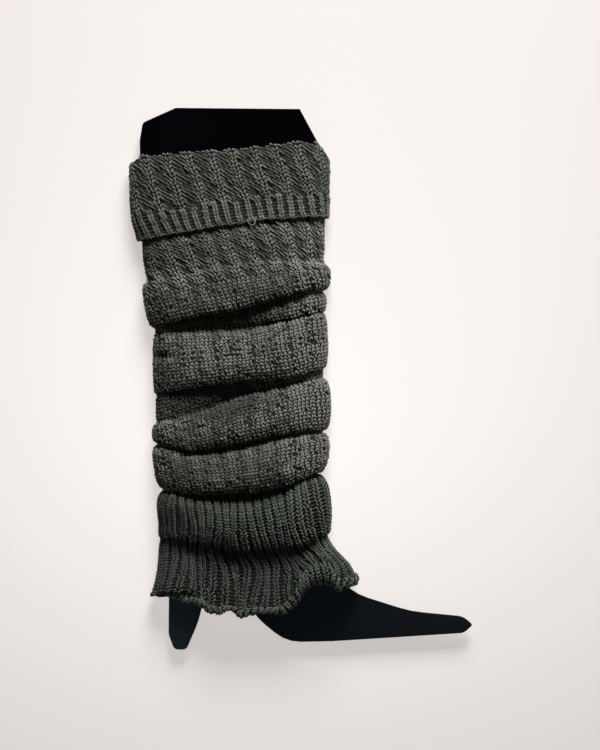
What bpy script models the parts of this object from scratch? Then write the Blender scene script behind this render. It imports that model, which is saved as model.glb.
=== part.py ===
"""Knitted leg warmer, slouched into folds, pulled over a flat boot-shaped display card.

It lies on its back. X runs across it, Y runs up the leg and Z points away from the surface it lies on.
The origin is on that surface, under the middle of the whole outline. Tables and sizes are in millimetres,
and become metres when a mesh is made.
"""
import math
from collections import namedtuple

import bmesh
import bpy
import numpy as np

MM = 0.001

# Knit
RIBS = 40
WALES = 2 * RIBS
WALL = 2.4
RELIEF = 0.7
SEAM = 0.3

# Section of the flattened tube, across the leg
EDGE_Z = 8.5
EDGE_OVER = 8.7
EDGE_UNDER = 3.7
BACK_SPREAD = 3.0
FACING_DOWN = 0.05

# Columns of the plain inner face: every one within so many of an edge, and one in so many elsewhere
FRONT_CLOSE = 10
FRONT_STEP = 2
BACK_CLOSE = 2
BACK_STEP = 2

# Turned cuff. Its outer layer swells away from the inner one in front and sags to the floor behind.
SLOT = 0.6
CUFF_SEAM_Y = 118.0
CUFF_SWELL = 1.6
CUFF_SETTLE = 0.4
CUFF_SAG = 2.4
CUFF_FULL_SHARE = 0.6
TEXTURED_SHARES = (0.04, 0.16, 0.29, 0.42, 0.55, 0.67)
RIBBED_SHARES = (0.74, 0.87, 1.0)
SLOT_SHARES = (1.0, 0.55, 0.12)

# Slouch folds. One that rises past HANG_FROM starts to hang over, and hangs fully at HANG_FULL.
LIP_SHARE = 0.62
POCKET = 1.2
POCKET_SHARE = 0.3
HANG_FROM = 6.5
HANG_FULL = 11.0
HANG_BACK = 0.75
DROP_FIRST = 0.35
DROP_SECOND = 0.7
LEAN_SHARE = 0.5
UNDER_EDGE = 0.3
BELOW_EDGE = 3.0
BELOW_EDGE_RISE = 0.6
MIDDLE_SHARE = 0.55

# Rib tube and ruffled hem
RIB_START = 0.5
VALLEY_RISE = 2.0
VALLEY_SWELL = 1.5
HEM_RISE = 4.0
HEM_SAG = 2.4

# Display card
CARD_Z = 7.5
CARD_THICK = 2.0
ARC_STEP = math.radians(14)
MOST_REACH = 0.48

KNIT_COLOUR = (0.052, 0.056, 0.048, 1.0)
RIB_COLOUR = (0.034, 0.038, 0.032, 1.0)
CARD_COLOUR = (0.004, 0.005, 0.007, 1.0)
KNIT_ROUGHNESS = 0.95
CARD_ROUGHNESS = 0.6

# Left and right edge of the tube in its valleys, down the leg
Width = namedtuple("Width", "y left right")
WIDTHS = (
    Width(167.0, -115.3, 16.5),
    Width(132.0, -115.7, 16.5),
    Width(114.5, -114.4, 16.0),
    Width(97.0, -110.0, 15.5),
    Width(81.5, -108.0, 15.0),
    Width(62.0, -104.5, 14.5),
    Width(32.0, -100.0, 14.5),
    Width(-9.5, -99.5, 15.0),
    Width(-37.5, -99.5, 14.5),
    Width(-76.5, -94.5, 10.5),
    Width(-99.0, -96.0, 13.5),
    Width(-116.5, -98.5, 21.5),
    Width(-134.0, -101.0, 35.0),
    Width(-155.0, -103.0, 37.5),
)

# Each fold, down the leg. top and lip are its upper and lower line at five places from left to right.
# rise is its height over the valleys at those places and on the back, tuck is how far it folds under
# itself, and valley is the height of the shallow dip above it.
Fold = namedtuple("Fold", "name top lip rise tuck valley")
FOLDS = (
    Fold("first", (67.0, 73.5, 78.0, 81.0, 80.0), (37.0, 43.0, 48.0, 56.5, 63.5),
         (5.2, 11.0, 13.0, 12.5, 5.0, 5.4), 7.5, 8.0),
    Fold("first small", (33.5, 39.5, 42.5, 52.5, 60.5), (32.0, 37.0, 39.5, 42.5, 47.5),
         (0.6, 1.0, 2.5, 6.0, 3.0, 3.0), 0.0, 0.0),
    Fold("second", (30.5, 32.0, 33.0, 39.0, 45.5), (-8.5, -6.0, -2.5, 1.0, 9.0),
         (2.4, 10.5, 13.5, 13.0, 3.6, 5.4), 7.5, 0.0),
    Fold("second small", (-11.5, -8.5, -5.0, -1.0, 6.0), (-27.0, -18.5, -8.5, -2.5, 2.5),
         (3.8, 4.5, 2.0, 1.0, 0.6, 3.0), 0.0, 0.0),
    Fold("third", (-29.5, -22.5, -11.5, -4.5, 0.5), (-48.0, -50.0, -44.5, -37.5, -34.0),
         (3.2, 11.0, 14.0, 14.0, 5.6, 5.4), 6.5, 0.0),
    Fold("fourth", (-51.5, -53.5, -49.0, -41.0, -37.5), (-74.5, -80.0, -79.0, -74.5, -63.0),
         (5.0, 12.0, 14.5, 14.0, 6.0, 5.4), 7.5, 0.0),
    Fold("rib", (-78.5, -83.5, -84.0, -78.5, -66.5), (-109.5, -113.5, -118.0, -116.5, -108.0),
         (4.5, 9.0, 10.0, 9.5, 7.0, 5.4), 0.0, 0.0),
)

# Where the rows of a fold lie between its lines, and their share of its rise
Step = namedtuple("Step", "down swell")
LARGE_FOLD = (Step(0.0, 0.0), Step(0.12, 0.68), Step(0.4, 1.0), Step(0.76, 0.98))
SMALL_FOLD = (Step(0.0, 0.0), Step(0.4, 1.0))
RIB_FOLD = (Step(0.14, 0.7), Step(0.42, 1.0), Step(0.75, 0.85))
FLARE = (Step(0.3, 0.1), Step(0.6, 0.4), Step(0.85, 0.8), Step(1.0, 1.0))

# Upper edge of the turned cuff, with its places, for it runs straight and turns down at its corners
CUFF_TOP_PLACES = (0.0, 0.035, 0.25, 0.455, 0.5)
CUFF_TOP = (149.5, 153.8, 158.7, 163.4, 153.0)

# Lower edge of the turned cuff and the rise of the knit below it, as for a fold
CUFF_BOTTOM = (96.5, 102.0, 107.5, 111.5, 112.5)
UNDER_CUFF_RISE = (0.8, 6.0, 7.5, 6.0, 0.6, 5.4)

# Ruffled hem: share of the way round, where the edge ends, and how far each wave stands out
Ruffle = namedtuple("Ruffle", "share y wave")
HEM = (
    Ruffle(0.000, -151.5, 0.0),
    Ruffle(0.055, -148.0, 3.5),
    Ruffle(0.095, -148.5, 6.0),
    Ruffle(0.128, -157.5, 3.0),
    Ruffle(0.150, -163.5, 0.5),
    Ruffle(0.172, -164.0, 2.5),
    Ruffle(0.200, -161.5, 6.0),
    Ruffle(0.222, -166.5, 1.0),
    Ruffle(0.250, -165.0, 1.5),
    Ruffle(0.285, -163.5, 5.5),
    Ruffle(0.320, -163.5, 2.0),
    Ruffle(0.358, -155.0, 2.5),
    Ruffle(0.378, -146.0, 7.0),
    Ruffle(0.420, -141.5, 8.0),
    Ruffle(0.455, -142.5, 3.0),
    Ruffle(0.480, -144.5, 1.0),
    Ruffle(0.500, -139.0, 0.0),
    Ruffle(0.560, -147.0, 2.0),
    Ruffle(0.620, -150.0, 0.0),
    Ruffle(0.680, -156.0, 2.0),
    Ruffle(0.740, -159.0, 0.0),
    Ruffle(0.800, -157.0, 2.0),
    Ruffle(0.860, -157.5, 0.5),
    Ruffle(0.920, -155.5, 1.5),
    Ruffle(0.960, -154.5, 0.0),
)

# Corners of the card, clockwise from its upper left, each with the radius that rounds it
Corner = namedtuple("Corner", "x y round")
CARD = (
    Corner(-87.0, 188.8, 0.0),
    Corner(-0.5, 188.0, 0.0),
    Corner(13.0, 163.0, 6.0),
    Corner(12.5, 128.0, 40.0),
    Corner(11.0, 90.0, 60.0),
    Corner(11.0, -38.0, 30.0),
    Corner(7.0, -72.0, 25.0),
    Corner(8.5, -97.0, 30.0),
    Corner(16.5, -128.0, 40.0),
    Corner(37.0, -149.5, 40.0),
    Corner(76.5, -162.0, 80.0),
    Corner(113.5, -165.6, 12.0),
    Corner(120.1, -171.5, 1.5),
    Corner(114.0, -177.2, 8.0),
    Corner(22.0, -183.0, 60.0),
    Corner(-10.0, -183.6, 28.0),
    Corner(-30.0, -167.0, 40.0),
    Corner(-45.0, -143.5, 10.0),
    Corner(-65.0, -143.5, 6.0),
    Corner(-71.0, -169.0, 60.0),
    Corner(-79.5, -188.8, 4.0),
    Corner(-88.0, -188.8, 4.0),
    Corner(-92.0, -178.0, 10.0),
    Corner(-90.9, -76.0, 20.0),
    Corner(-95.8, -42.0, 30.0),
    Corner(-96.2, 32.0, 40.0),
    Corner(-106.0, 96.0, 40.0),
    Corner(-110.7, 117.0, 40.0),
    Corner(-112.1, 166.0, 20.0),
    Corner(-110.0, 178.5, 4.0),
)

FRONT_PLACES = (0.0, 0.125, 0.25, 0.375, 0.5)
BACK_PLACE = 0.75
SHARES = np.arange(WALES) / WALES


def curve(places, values, at, period=None):
    """Smooth curve through the values at their places that doesn't swing past them."""
    x = np.asarray(places, float)
    y = np.asarray(values, float)
    at = np.asarray(at, float)
    if period:
        x = np.concatenate([x[-2:] - period, x, x[:2] + period])
        y = np.concatenate([y[-2:], y, y[:2]])
    slope = np.diff(y) / np.diff(x)
    same_way = slope[1:] * slope[:-1] > 0
    total = np.where(same_way, slope[1:] + slope[:-1], 1.0)
    middle = np.where(same_way, 2 * slope[1:] * slope[:-1] / total, 0.0)
    steep = np.concatenate([slope[:1], middle, slope[-1:]])
    part = np.clip(np.searchsorted(x, at) - 1, 0, len(x) - 2)
    span = x[part + 1] - x[part]
    t = np.clip((at - x[part]) / span, 0.0, 1.0)
    blend = t * t * (3 - 2 * t)
    leave = t * (1 - t) ** 2 * steep[part]
    arrive = t * t * (1 - t) * steep[part + 1]
    return y[part] * (1 - blend) + y[part + 1] * blend + span * (leave - arrive)


def line_round(front, places=FRONT_PLACES):
    """Height along the leg of a line given at five places on the front, all the way round."""
    back = (front[0] + front[-1]) / 2
    return curve(places + (BACK_PLACE,), tuple(front) + (back,), SHARES, 1.0)


def rise_round(values):
    """Height over the valleys, given at five places on the front and one on the back."""
    return curve(FRONT_PLACES + (BACK_PLACE,), values, SHARES, 1.0)


def front_and_back():
    """A round hump over the tube's front and a flat one over its back, both 0 at its edges."""
    front = np.sin(np.clip(SHARES, 0.0, 0.5) * 2 * math.pi)
    back = np.sin(np.clip(SHARES - 0.5, 0.0, 0.5) * 2 * math.pi)
    return front, np.minimum(BACK_SPREAD * back, 1.0)


def tube_section(share, y):
    """Point and outward direction, in X and Z, on the flattened tube in its valleys."""
    stations = WIDTHS[::-1]
    left = curve([w.y for w in stations], [w.left for w in stations], y)
    right = curve([w.y for w in stations], [w.right for w in stations], y)
    over = share <= 0.5
    across = 2 * np.where(over, share, 1 - share)
    radius = np.where(over, EDGE_OVER, EDGE_UNDER)
    side = np.where(over, 1.0, -1.0)
    quarter = radius * math.pi / 2
    flat = right - left - 2 * radius
    travel = across * (2 * quarter + flat)
    left_turn = np.clip(travel / radius, 0, math.pi / 2)
    right_turn = np.clip((travel - quarter - flat) / radius, 0, math.pi / 2)
    along = np.clip(travel - quarter, 0, flat)
    direction_x = np.sin(right_turn) - np.cos(left_turn)
    direction_z = side * np.sin(left_turn) * np.cos(right_turn)
    x = left + radius + along + radius * direction_x
    z = EDGE_Z + radius * direction_z
    return x, z, direction_x, direction_z


def wall_rows(rows, gentle_rows):
    """Outer rows and plain inner rows of a wall, as y and height over the valleys.

    The inner row lies a wall's thickness in from the outer one, square to the fold's profile. On gentle
    rows, which lie close together, it leans less, so that the inner rows keep their order.
    """
    y = np.array([row[0] for row in rows])
    height = np.array([row[1] for row in rows])
    x, z, direction_x, direction_z = tube_section(np.tile(SHARES, (len(rows), 1)), y)
    downward = direction_z < -FACING_DOWN
    floor_height = np.where(downward, -z / np.minimum(direction_z, -FACING_DOWN), np.inf)
    height = np.minimum(height, floor_height)
    run = np.gradient(y, axis=0)
    climb = np.gradient(height, axis=0)
    run[0], climb[0], run[-1], climb[-1] = -1.0, 0.0, -1.0, 0.0
    lean = climb / np.hypot(run, climb)
    back_off = -run / np.hypot(run, climb)
    stride = np.hypot(np.diff(y, axis=0), np.diff(height, axis=0))
    stride = np.minimum(np.vstack([stride[:1], stride]), np.vstack([stride, stride[-1:]]))
    most = np.clip(LEAN_SHARE * stride / WALL, 0.0, 1.0)
    limited = np.clip(lean, -most, most)
    gentle = np.array(gentle_rows)[:, None]
    lean = np.where(gentle, limited, lean)
    back_off = np.where(gentle, np.sqrt(1.0 - limited ** 2), back_off)
    inner_y = y - WALL * lean
    inner_height = height - WALL * back_off
    return y, height, inner_y, inner_height


def place(y, height, share=SHARES):
    """Points of one row round the tube, moved out by their heights and kept above the floor."""
    x, z, direction_x, direction_z = tube_section(share, y)
    z = np.maximum(z + height * direction_z, 0.0)
    return np.stack([x + height * direction_x, y, z], axis=1)


def rib_relief():
    """A ridge on every second column of stitches."""
    return RELIEF * (np.arange(WALES) % 2)


def basket_relief(row):
    """Blocks two stitches wide that change places from row to row, as in the textured knit."""
    column = np.arange(WALES) + 2 * (row % 2)
    return RELIEF * (column % 4 < 2)


def plain_columns():
    """Columns that carry the plain inner face: all where the folds turn under, fewer elsewhere."""
    columns = []
    for column in range(WALES):
        on_front = column <= RIBS
        from_edge = min(column % RIBS, RIBS - column % RIBS)
        close = from_edge <= (FRONT_CLOSE if on_front else BACK_CLOSE)
        if close or from_edge % (FRONT_STEP if on_front else BACK_STEP) == 0:
            columns.append(column)
    return columns


PLAIN = plain_columns()


def add_row(shape, points):
    """Vertices of one row, from points in millimetres."""
    return [shape.verts.new([float(value) * MM for value in point]) for point in points]


def skin(shape, first, second):
    """Faces between two rows that have the same number of points."""
    count = len(first)
    for index in range(count):
        after = (index + 1) % count
        shape.faces.new((first[index], second[index], second[after], first[after]))


def join_full_to_plain(shape, full, plain):
    """Faces between a row with every column and a row with the plain columns alone."""
    for index, column in enumerate(PLAIN):
        after = PLAIN[(index + 1) % len(PLAIN)]
        span = (after - column) % WALES
        edge = [full[(column + step) % WALES] for step in range(span + 1)]
        shape.faces.new([plain[index]] + edge + [plain[(index + 1) % len(PLAIN)]])


def finish_object(shape, name, colour, roughness):
    """Object with its own material, from a closed shape."""
    bmesh.ops.triangulate(shape, faces=shape.faces[:])
    bmesh.ops.recalc_face_normals(shape, faces=shape.faces[:])
    mesh = bpy.data.meshes.new(name)
    shape.to_mesh(mesh)
    shape.free()
    material = bpy.data.materials.new(name)
    material.use_nodes = True
    surface = material.node_tree.nodes["Principled BSDF"]
    surface.inputs["Base Color"].default_value = colour
    surface.inputs["Roughness"].default_value = roughness
    surface.inputs["Metallic"].default_value = 0.0
    mesh.materials.append(material)
    piece = bpy.data.objects.new(name, mesh)
    bpy.context.scene.collection.objects.link(piece)
    return piece


def knit_tube(name, rows, gentle_rows, reliefs, colour):
    """Closed wall of knit round the tube, raised on its outside and plain within."""
    y, height, inner_y, inner_height = wall_rows(rows, gentle_rows)
    shape = bmesh.new()
    outer = []
    for row, relief in enumerate(reliefs):
        outer.append(add_row(shape, place(y[row], height[row] + relief)))
    inner = []
    for row in range(len(rows)):
        points = place(inner_y[row][PLAIN], inner_height[row][PLAIN], SHARES[PLAIN])
        inner.append(add_row(shape, points))
    for row in range(len(rows) - 1):
        skin(shape, outer[row], outer[row + 1])
        skin(shape, inner[row + 1], inner[row])
    join_full_to_plain(shape, outer[0], inner[0])
    join_full_to_plain(shape, outer[-1], inner[-1])
    return finish_object(shape, name, colour, KNIT_ROUGHNESS)


def fold_rows(fold, below_top):
    """Rows of one fold, from its upper line over its crest, under its lip and to the next valley."""
    top = line_round(fold.top)
    lip = line_round(fold.lip)
    rise = rise_round(fold.rise)
    length = top - lip
    gap = lip - line_round(below_top)
    on_front = (SHARES > 0.0) & (SHARES < 0.5) & (fold.tuck > 0.0)
    hang = np.clip((rise - HANG_FROM) / (HANG_FULL - HANG_FROM), 0.0, 1.0) * on_front
    valley = fold.valley * front_and_back()[0]
    steps = LARGE_FOLD if fold.tuck > 0.0 else SMALL_FOLD
    rows = [(top - step.down * length, valley + (rise - valley) * step.swell) for step in steps]
    rows.append((lip, rise * LIP_SHARE))
    deep = lip + hang * fold.tuck - (1 - hang) * DROP_FIRST * gap
    rows.append((deep, np.minimum(POCKET, POCKET_SHARE * rise)))
    turn = lip + hang * HANG_BACK * fold.tuck - (1 - hang) * DROP_SECOND * gap
    rows.append((turn, np.zeros(WALES)))
    return rows


def make_leg_tube():
    """Textured body of the knit, from under the cuff to under its fourth fold."""
    level = np.zeros(WALES)
    cuff_edge = line_round(CUFF_BOTTOM)
    first_top = line_round(FOLDS[0].top)
    under_cuff = rise_round(UNDER_CUFF_RISE)
    middle = cuff_edge + (first_top - cuff_edge) * MIDDLE_SHARE
    rows = [
        (level + CUFF_SEAM_Y, level),
        (cuff_edge + UNDER_EDGE, level),
        (cuff_edge - BELOW_EDGE, under_cuff * BELOW_EDGE_RISE),
        (middle, under_cuff),
    ]
    gentle_rows = [False] * len(rows)
    for index, fold in enumerate(FOLDS[:-1]):
        more = fold_rows(fold, FOLDS[index + 1].top)
        rows.extend(more)
        gentle_rows.extend([fold.tuck == 0.0] * len(more))
    hidden_rows = (0, 1, len(rows) - 1)
    reliefs = []
    for row in range(len(rows)):
        reliefs.append(level if row in hidden_rows else basket_relief(row))
    return knit_tube("leg_tube", rows, gentle_rows, reliefs, KNIT_COLOUR)


def make_rib_tube():
    """Ribbed lower part, from under the fourth fold to the ruffled hem."""
    level = np.zeros(WALES)
    rib = FOLDS[-1]
    start = fold_rows(FOLDS[-2], rib.top)[-1][0] - SEAM
    top = line_round(rib.top)
    lip = line_round(rib.lip)
    rise = rise_round(rib.rise)
    length = top - lip
    hem = curve([r.share for r in HEM], [r.y for r in HEM], SHARES, 1.0)
    wave = curve([r.share for r in HEM], [r.wave for r in HEM], SHARES, 1.0)
    front, back = front_and_back()
    rows = [(start, level), (np.minimum(top, start - RIB_START), level)]
    for step in RIB_FOLD:
        rows.append((top - step.down * length, rise * step.swell))
    rows.append((lip, VALLEY_RISE + VALLEY_SWELL * front))
    out = HEM_RISE * front + HEM_SAG * back
    for step in FLARE:
        rows.append((lip - step.down * (lip - hem), VALLEY_RISE + step.down * out + step.swell * wave))
    reliefs = [level] + [rib_relief()] * (len(rows) - 1)
    return knit_tube("rib_tube", rows, [False] * len(rows), reliefs, RIB_COLOUR)


def make_turned_cuff():
    """Top of the tube folded down outside: an inner layer, a fold, and an outer layer over it."""
    level = np.zeros(WALES)
    top = line_round(CUFF_TOP, CUFF_TOP_PLACES)
    tall = top - line_round(CUFF_BOTTOM)
    front, back = front_and_back()
    fold_radius = WALL + SLOT / 2
    shape = bmesh.new()

    def outer_face(share):
        """Place of the outer layer's smooth outer face, at a share of the way down the cuff."""
        full = math.sin(min(share / CUFF_FULL_SHARE, 1.0) * math.pi / 2)
        swell = CUFF_SWELL * front * (1 - CUFF_SETTLE * share) + CUFF_SAG * back
        return top - share * tall, WALL + SLOT + swell * full

    def full_row(y, height):
        return add_row(shape, place(y, height))

    def plain_row(y, height):
        return add_row(shape, place(y[PLAIN], height[PLAIN], SHARES[PLAIN]))

    outer = [full_row(top, SLOT / 2 + rib_relief())]
    for row, share in enumerate(TEXTURED_SHARES):
        y, height = outer_face(share)
        outer.append(full_row(y, height + basket_relief(row)))
    for share in RIBBED_SHARES:
        y, height = outer_face(share)
        outer.append(full_row(y, height + rib_relief()))

    plain = []
    for share in SLOT_SHARES:
        y, height = outer_face(share)
        plain.append(plain_row(y, height - WALL))
    seam = level + CUFF_SEAM_Y + SEAM
    plain.append(plain_row(top - fold_radius, level + SLOT / 2))
    plain.append(plain_row(top - SLOT_SHARES[-1] * tall, level))
    plain.append(plain_row(seam, level))
    plain.append(plain_row(seam, level - WALL))
    plain.append(plain_row(top - fold_radius, level - WALL))
    slant = fold_radius * math.sqrt(0.5)
    plain.append(plain_row(top - fold_radius + slant, level + SLOT / 2 - slant))

    for rows in (outer, plain):
        for first, second in zip(rows, rows[1:]):
            skin(shape, first, second)
    join_full_to_plain(shape, outer[-1], plain[0])
    join_full_to_plain(shape, outer[0], plain[-1])
    return finish_object(shape, "turned_cuff", KNIT_COLOUR, KNIT_ROUGHNESS)


def rounded_outline(corners):
    """Outline through the corners with each one rounded to its radius."""
    points = []
    for index, corner in enumerate(corners):
        here = np.array((corner.x, corner.y))
        before = corners[index - 1]
        after = corners[(index + 1) % len(corners)]
        back = np.array((before.x, before.y)) - here
        ahead = np.array((after.x, after.y)) - here
        back_way = back / np.linalg.norm(back)
        ahead_way = ahead / np.linalg.norm(ahead)
        half = math.acos(max(-1.0, min(1.0, float(back_way @ ahead_way)))) / 2
        turn = math.pi - 2 * half
        reach = corner.round / math.tan(half)
        reach = min(reach, MOST_REACH * np.linalg.norm(back), MOST_REACH * np.linalg.norm(ahead))
        radius = reach * math.tan(half)
        if corner.round == 0.0:
            points.append(here)
            continue
        middle = (back_way + ahead_way) / np.linalg.norm(back_way + ahead_way)
        centre = here + middle * radius / math.sin(half)
        start = here + back_way * reach - centre
        finish = here + ahead_way * reach - centre
        steps = max(2, math.ceil(turn / ARC_STEP))
        for step in range(steps + 1):
            share = step / steps
            spoke = start * math.sin((1 - share) * turn) + finish * math.sin(share * turn)
            points.append(centre + spoke / math.sin(turn))
    return points


def make_display_card():
    """Flat board cut as a high-heeled boot, square at its edges."""
    outline = rounded_outline(CARD)
    shape = bmesh.new()
    face = shape.faces.new([shape.verts.new((x * MM, y * MM, CARD_Z * MM)) for x, y in outline])
    grown = bmesh.ops.extrude_face_region(shape, geom=[face])
    raised = [item for item in grown["geom"] if isinstance(item, bmesh.types.BMVert)]
    bmesh.ops.translate(shape, verts=raised, vec=(0.0, 0.0, CARD_THICK * MM))
    return finish_object(shape, "display_card", CARD_COLOUR, CARD_ROUGHNESS)


for old in list(bpy.data.objects):
    bpy.data.objects.remove(old)

make_turned_cuff()
make_leg_tube()
make_rib_tube()
make_display_card()
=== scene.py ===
import math
from collections import namedtuple

import bmesh
import bpy
import numpy as np
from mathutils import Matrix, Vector
from mathutils.bvhtree import BVHTree


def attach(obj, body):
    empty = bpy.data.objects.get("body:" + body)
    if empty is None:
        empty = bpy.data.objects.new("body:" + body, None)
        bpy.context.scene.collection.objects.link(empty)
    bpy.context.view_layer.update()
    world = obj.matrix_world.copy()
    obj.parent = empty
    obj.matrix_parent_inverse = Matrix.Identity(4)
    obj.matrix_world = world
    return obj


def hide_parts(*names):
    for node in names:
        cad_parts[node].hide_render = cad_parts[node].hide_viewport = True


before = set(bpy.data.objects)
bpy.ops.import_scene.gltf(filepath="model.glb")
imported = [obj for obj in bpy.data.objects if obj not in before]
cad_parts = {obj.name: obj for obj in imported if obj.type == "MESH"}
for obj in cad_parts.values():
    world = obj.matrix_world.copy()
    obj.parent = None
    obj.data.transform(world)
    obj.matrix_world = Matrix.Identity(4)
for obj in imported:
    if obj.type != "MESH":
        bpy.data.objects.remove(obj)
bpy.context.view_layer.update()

# Display card
# A flat black board 2 mm thick, cut as a high-heeled boot, that the knitted tube is pulled over. The steel
# rule that cuts it rounds its edges a little and lets the grey core show along them.
MM = 0.001
CARD_EDGE = 0.35 * MM
SQUARE_EDGE = math.radians(60)
SOFT_EDGE = math.radians(32)
CARD_TOP_Y = 0.13
CARD_SOLE_Y = -0.17
HEEL_FRONT_X = -0.060
HEEL_BACK_X = -0.078
CARD_BLACK = (0.0006, 0.0006, 0.0009, 1.0)
# Painted light: the paler tone the board gets towards its sole and heel
CARD_PAINTED_LIGHT = (0.0067, 0.0088, 0.0107, 1.0)
# Painted glow: the board gives off its own colour as light
CARD_PAINTED_GLOW = 0.7
CARD_CORE = (0.022, 0.023, 0.026, 1.0)


def new_material(name):
    """Material with nodes of its own."""
    material = bpy.data.materials.new(name)
    material.use_nodes = True
    return material


def feed(material, node, sockets):
    """Give each socket of a node its value, or link it to the output that it reads."""
    for socket, value in sockets.items():
        if isinstance(value, bpy.types.NodeSocket):
            material.node_tree.links.new(value, node.inputs[socket])
        else:
            node.inputs[socket].default_value = value


def finish(material, sockets):
    """Feed the material's surface."""
    feed(material, material.node_tree.nodes["Principled BSDF"], sockets)
    return material


def add_node(material, kind, sockets, **settings):
    """Outputs of a new node, once it is set and fed."""
    node = material.node_tree.nodes.new("ShaderNode" + kind)
    for setting, value in settings.items():
        setattr(node, setting, value)
    feed(material, node, sockets)
    return node.outputs


def reckoned(material, operation, *terms):
    """Output of one step of arithmetic on values or outputs."""
    return add_node(material, "Math", dict(enumerate(terms)), operation=operation)["Value"]


def blended(material, share, first, second):
    """Colour that turns from the first into the second."""
    return add_node(material, "Mix", {"Factor": share, "A": first, "B": second}, data_type="RGBA")["Result"]


def graded(material, factor, stops):
    """Colour that runs through stops, each a place and a colour."""
    node = material.node_tree.nodes.new("ShaderNodeValToRGB")
    feed(material, node, {"Fac": factor})
    ends = node.color_ramp.elements
    for end, (position, colour) in zip(ends, (stops[0], stops[-1])):
        end.position = position
        end.color = colour
    for position, colour in stops[1:-1]:
        ends.new(position).color = colour
    return node.outputs["Color"]


def card_material():
    """Matt coating over board: nearly black, cloudy, finely grained and rubbed along the cut edge, with
    painted light towards the sole and the heel and a painted glow.
    """
    material = new_material("coated_board")
    place = add_node(material, "TexCoord", {})["Object"]
    axes = add_node(material, "SeparateXYZ", {"Vector": place})
    cloud = add_node(material, "TexNoise", {"Vector": place, "Scale": 14.0, "Detail": 3.0})["Fac"]
    scuff = add_node(material, "TexNoise", {"Vector": place, "Scale": 420.0})["Fac"]
    grain = add_node(material, "TexNoise", {"Vector": place, "Scale": 1700.0, "Detail": 4.0})["Fac"]
    # Painted light: lighter towards the sole, least at the toe and most at the heel, lifting the heel out
    # of the hem's shadow
    lit_towards_sole = add_node(material, "MapRange", {
        "Value": axes["Y"], "From Min": CARD_TOP_Y, "From Max": CARD_SOLE_Y, "To Max": 0.6})["Result"]
    heel_painted_light = add_node(material, "MapRange", {
        "Value": axes["X"], "From Min": HEEL_FRONT_X, "From Max": HEEL_BACK_X,
        "To Min": -0.34, "To Max": 0.40})["Result"]
    board_painted_light = reckoned(material, "MULTIPLY_ADD", lit_towards_sole, heel_painted_light, lit_towards_sole)
    cloudy_and_painted_light = reckoned(material, "MULTIPLY_ADD", cloud, 0.35, board_painted_light)
    tone = graded(material, cloudy_and_painted_light, ((0.2, CARD_BLACK), (1.0, CARD_PAINTED_LIGHT)))
    rim = add_node(material, "Attribute", {}, attribute_name="cut_edge")["Fac"]
    colour = blended(material, reckoned(material, "MULTIPLY", rim, scuff), tone, CARD_CORE)
    relief = add_node(material, "Bump", {
        "Height": grain, "Strength": 0.25, "Distance": 0.05 * MM})["Normal"]
    # The emission is a painted glow that lightens the board where shadow falls on it
    return finish(material, {"Base Color": colour, "Emission Color": colour, "Emission Strength": CARD_PAINTED_GLOW,
                             "Normal": relief, "Roughness": 0.7, "Specular IOR Level": 0.0})


def add_object(name, data):
    """Object at the origin that carries the data."""
    thing = bpy.data.objects.new(name, data)
    bpy.context.scene.collection.objects.link(thing)
    return thing


def show_mesh(name, mesh, material):
    """Object that carries a finished mesh and its material and rides on the part."""
    mesh.materials.clear()
    mesh.materials.append(material)
    piece = add_object(name, mesh)
    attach(piece, "root")
    return piece


def finished(name, shape):
    """Mesh of a shape that is done."""
    mesh = bpy.data.meshes.new(name)
    shape.to_mesh(mesh)
    shape.free()
    return mesh


def cut_card():
    """The card's own outline with its long edges eased."""
    shape = bmesh.new()
    shape.from_mesh(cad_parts["display_card"].data)
    bmesh.ops.remove_doubles(shape, verts=shape.verts, dist=0.001 * MM)
    bmesh.ops.dissolve_limit(shape, angle_limit=math.radians(1), verts=shape.verts, edges=shape.edges)
    corners = [edge for edge in shape.edges if edge.calc_face_angle(0.0) > SQUARE_EDGE]
    bmesh.ops.bevel(shape, geom=corners, offset=CARD_EDGE, offset_type="OFFSET", affect="EDGES",
                    segments=3, profile=0.5, material=-1)
    cut_edge = shape.faces.layers.float.new("cut_edge")
    for face in shape.faces:
        face[cut_edge] = 1.0 if abs(face.normal.z) < 0.99 else 0.0
    bmesh.ops.triangulate(shape, faces=shape.faces)
    mesh = finished("board", shape)
    mesh.shade_smooth()
    mesh.set_sharp_from_angle(angle=SOFT_EDGE)
    return mesh


board = show_mesh("board", cut_card(), card_material())
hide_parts("display_card")

# Leg tube
# The body of the leg warmer, chunky heathered yarn knitted in the round with a rope of stitches in every
# four wales. It is pushed down into four large folds and two small ones, each hanging over the next.
# Sizes of the knit are in mm, and a share runs round the tube, from its left edge over the front and back.
WALES = 80
COLUMNS = 4 * WALES
SHARES = np.arange(COLUMNS) / COLUMNS
EDGE_Z = 8.5
EDGE_OVER = 8.7
EDGE_UNDER = 3.7
BACK_SPREAD = 3.0
FLOOR_GAP = 1.1
GROUND_THICKNESS = 0.9
SIGHT_FROM = 1.2


def made(kind, *rows):
    """The rows of a table, each made one of its kind."""
    return tuple(kind(*row) for row in rows)


# How far the flattened tube reaches to the left and the right, at places down the leg
Width = namedtuple("Width", "y left right")
WIDTHS = made(
    Width, (167.0, -115.3, 16.5), (132.0, -115.7, 16.5), (114.5, -114.4, 16.0), (97.0, -110.0, 15.5),
    (81.5, -108.0, 15.0), (62.0, -104.5, 14.5), (32.0, -100.0, 14.5), (-9.5, -99.5, 15.0),
    (-37.5, -99.5, 14.5), (-76.5, -94.5, 10.5), (-99.0, -93.0, 13.5), (-116.5, -97.2, 21.5),
    (-134.0, -99.0, 35.0), (-155.0, -103.5, 37.5))

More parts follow.
